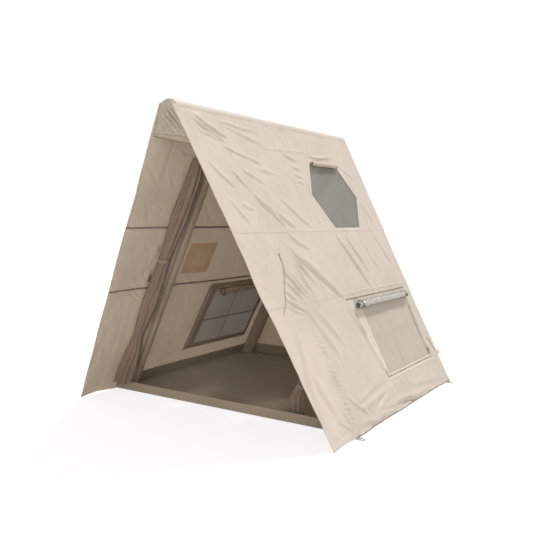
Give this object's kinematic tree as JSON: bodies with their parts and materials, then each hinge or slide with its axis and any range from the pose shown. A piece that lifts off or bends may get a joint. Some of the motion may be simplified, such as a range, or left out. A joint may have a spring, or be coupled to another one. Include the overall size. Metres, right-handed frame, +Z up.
{
  "type": "inflatable ridge tent",
  "caption": "Inflatable ridge tent: sleeved air beams hold a sloping cloth roof that reaches the ground, with skylights, roll-up windows, tied door curtains and a stove opening.",
  "frame": {"origin": "on the ground, under the middle of the tent's overall width and length", "axes": "+Z up, +Y from the doorway to the back wall, +X to the right seen from the doorway"},
  "size_m": [2.5446, 2.92, 2.4],
  "materials": {
    "canvas": "matte woven cloth, warm light beige",
    "cover_cloth": "matte woven cloth, light beige",
    "clear_sheet": "soft clear sheet, creased",
    "curtain_cloth": "matte woven cloth, brown grey",
    "sleeve_cloth": "matte woven cloth, brown",
    "bladder": "satin coated film",
    "net": "fine insect net",
    "floor_cloth": "coated cloth, dark brown",
    "webbing": "woven webbing, brown",
    "zip_tape": "woven tape with moulded teeth, dark",
    "zip_metal": "satin metal",
    "valve_plastic": "matte black",
    "jack_border": "heat-resistant cloth, tan brown",
    "jack_centre": "heat-resistant cloth, yellowish tan",
    "cord": "braided cord"
  },
  "bodies": {
    "tent": {"ridge_cover": "canvas", "front_gable_cap": "canvas", "back_wall": "canvas", "back_window_panel": "canvas", "left_roof_panel": "canvas", "right_roof_panel": "canvas", "left_skylight_cover_roll": "cover_cloth", "right_skylight_cover_roll": "cover_cloth", "left_inner_window_roll": "cover_cloth", "right_inner_window_roll": "cover_cloth", "left_outer_window_roll": "clear_sheet", "right_outer_window_roll": "clear_sheet", "left_door_curtain": "curtain_cloth", "right_door_curtain": "curtain_cloth", "front_threshold": "curtain_cloth", "front_left_sleeve": "sleeve_cloth", "front_right_sleeve": "sleeve_cloth", "back_left_sleeve": "sleeve_cloth", "back_right_sleeve": "sleeve_cloth", "left_window_frame": "sleeve_cloth", "right_window_frame": "sleeve_cloth", "ridge_air_beam": "bladder", "front_left_air_beam": "bladder", "front_right_air_beam": "bladder", "back_left_air_beam": "bladder", "back_right_air_beam": "bladder", "left_skylight_net": "net", "right_skylight_net": "net", "left_window_net": "net", "right_window_net": "net", "groundsheet": "floor_cloth", "left_curtain_tie": "webbing", "right_curtain_tie": "webbing", "left_guy_patch": "webbing", "right_guy_patch": "webbing", "front_left_peg_loop": "webbing", "front_right_peg_loop": "webbing", "back_left_peg_loop": "webbing", "back_right_peg_loop": "webbing", "left_door_zip": "zip_tape", "right_door_zip": "zip_tape", "left_window_zip": "zip_tape", "right_window_zip": "zip_tape", "back_window_zip": "zip_tape", "inflation_valve": "valve_plastic", "stove_jack_frame": "jack_border", "stove_jack_panel": "jack_centre", "left_guy_cord": "cord", "right_guy_cord": "cord"},
    "left_door_slider": {"left_door_slider": "zip_metal"},
    "right_door_slider": {"right_door_slider": "zip_metal"},
    "left_door_pull": {"left_door_pull": "zip_metal"},
    "right_door_pull": {"right_door_pull": "zip_metal"},
    "left_window_slider": {"left_window_slider": "zip_metal"},
    "right_window_slider": {"right_window_slider": "zip_metal"},
    "left_back_window_slider": {"left_back_window_slider": "zip_metal"},
    "right_back_window_slider": {"right_back_window_slider": "zip_metal"},
    "valve_cap": {"inflation_valve_cap": "valve_plastic"},
    "stove_flap": {"stove_jack_flap": "canvas"}
  },
  "joints": [
    {"name": "left_door_zip_slide", "type": "slide", "parent": "tent", "child": "left_door_slider", "axis": [0.4378, -0.0672, 0.8965], "range_m": [0, 1.99]},
    {"name": "left_door_pull_hinge", "type": "hinge", "parent": "left_door_slider", "child": "left_door_pull", "pos_m": [-0.99848, -0.63523, 0.1759], "axis": [-0.7073, -0.6413, 0.2973], "range_deg": [-20, 130]},
    {"name": "left_window_zip_slide", "type": "slide", "parent": "tent", "child": "left_window_slider", "axis": [0.4388, 0, 0.8986], "range_m": [0, 0.56]},
    {"name": "left_back_window_zip_slide", "type": "slide", "parent": "tent", "child": "left_back_window_slider", "axis": [0.4383, -0.0486, 0.8975], "range_m": [0, 1.43]},
    {"name": "right_door_zip_slide", "type": "slide", "parent": "tent", "child": "right_door_slider", "axis": [-0.4378, -0.0672, 0.8965], "range_m": [0, 1.99]},
    {"name": "right_door_pull_hinge", "type": "hinge", "parent": "right_door_slider", "child": "right_door_pull", "pos_m": [0.99848, -0.63523, 0.1759], "axis": [-0.7073, 0.6413, -0.2973], "range_deg": [-20, 130]},
    {"name": "right_window_zip_slide", "type": "slide", "parent": "tent", "child": "right_window_slider", "axis": [-0.4388, 0, 0.8986], "range_m": [0, 0.56]},
    {"name": "right_back_window_zip_slide", "type": "slide", "parent": "tent", "child": "right_back_window_slider", "axis": [-0.4383, -0.0486, 0.8975], "range_m": [0, 1.43]},
    {"name": "valve_cap_hinge", "type": "hinge", "parent": "tent", "child": "valve_cap", "pos_m": [0.89677, 1.31846, 0.35176], "axis": [-0.5329, 0.8182, -0.2159], "range_deg": [0, 150]},
    {"name": "stove_flap_hinge", "type": "hinge", "parent": "tent", "child": "stove_flap", "pos_m": [-0.56807, -0.215, 1.31861], "axis": [0, 1, 0], "range_deg": [0, 170]}
  ]
}
